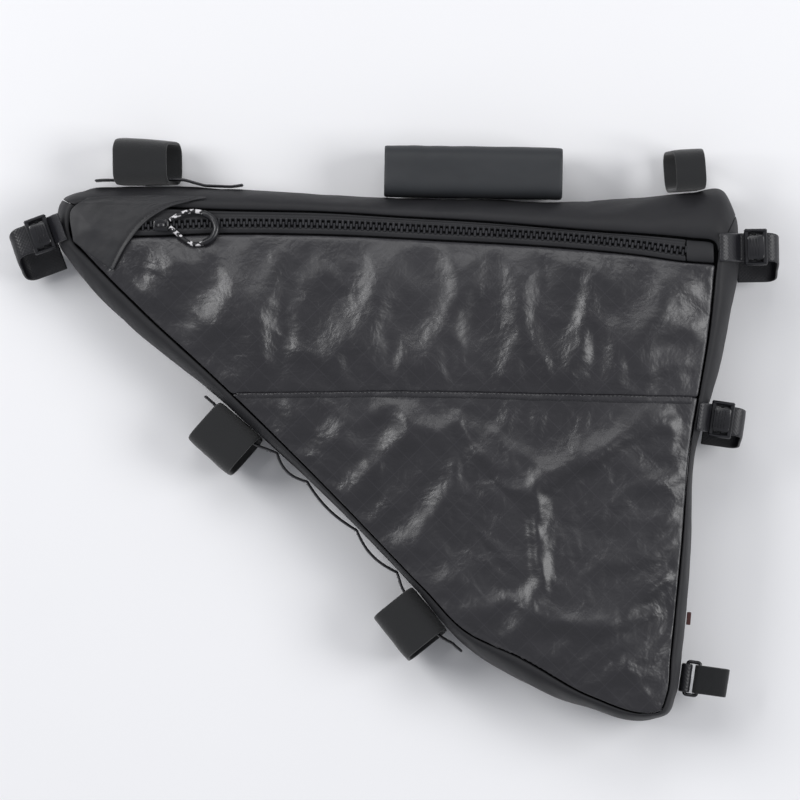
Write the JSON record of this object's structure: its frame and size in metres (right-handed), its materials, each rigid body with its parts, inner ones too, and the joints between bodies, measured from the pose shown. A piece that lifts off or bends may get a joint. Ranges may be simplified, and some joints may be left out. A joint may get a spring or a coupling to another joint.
{
  "type": "bicycle frame bag",
  "caption": "Triangular bag that straps inside a bicycle frame, with a long zip, a rolled top band, coated front panels and strap loops for the frame tubes.",
  "frame": {"origin": "centre of the lying bag's box in plan, on the surface that its back panel rests on", "axes": "+X along the top tube from the head end to the seat end, +Y towards the top tube, +Z out of the front"},
  "size_m": [0.54, 0.4078, 0.074],
  "materials": {
    "coated_fabric": "coated laminate with a soft sheen",
    "gusset_fabric": "matte woven",
    "patch_fabric": "smooth matte woven",
    "zip_tape": "matte woven tape",
    "zip_teeth": "satin",
    "hook_and_loop": "matte pile",
    "smooth_flap": "smooth rubbery coating",
    "webbing": "glossy woven nylon",
    "buckle_plastic": "satin moulded",
    "pull_cord": "braided, with light flecks"
  },
  "bodies": {
    "root": {"back_panel": "coated_fabric", "panel_upper": "coated_fabric", "panel_lower": "coated_fabric", "zip_end_cover": "coated_fabric", "top_gusset": "gusset_fabric", "side_gusset": "gusset_fabric", "side_tag": "gusset_fabric", "corner_patch": "patch_fabric", "zip_tape_upper": "zip_tape", "zip_tape_lower": "zip_tape", "zip_teeth": "zip_teeth", "zip_slider": "buckle_plastic", "pull_cord_upper": "pull_cord", "pull_cord_lower": "pull_cord", "pull_grip": "buckle_plastic", "top_strip": "webbing", "down_strip": "webbing", "top_strap_front": "hook_and_loop", "top_strap_rear": "hook_and_loop", "top_flap": "smooth_flap", "down_strap_upper": "hook_and_loop", "down_strap_lower": "hook_and_loop", "bottom_strap": "hook_and_loop", "bottom_tab": "webbing", "bottom_ring": "buckle_plastic", "head_tab": "webbing", "head_strap": "webbing", "head_buckle": "buckle_plastic", "head_lever": "buckle_plastic", "seat_upper_tab": "webbing", "seat_upper_strap": "webbing", "seat_upper_buckle": "buckle_plastic", "seat_upper_lever": "buckle_plastic", "seat_lower_tab": "webbing", "seat_lower_strap": "webbing", "seat_lower_buckle": "buckle_plastic", "seat_lower_lever": "buckle_plastic"}
  },
  "joints": []
}
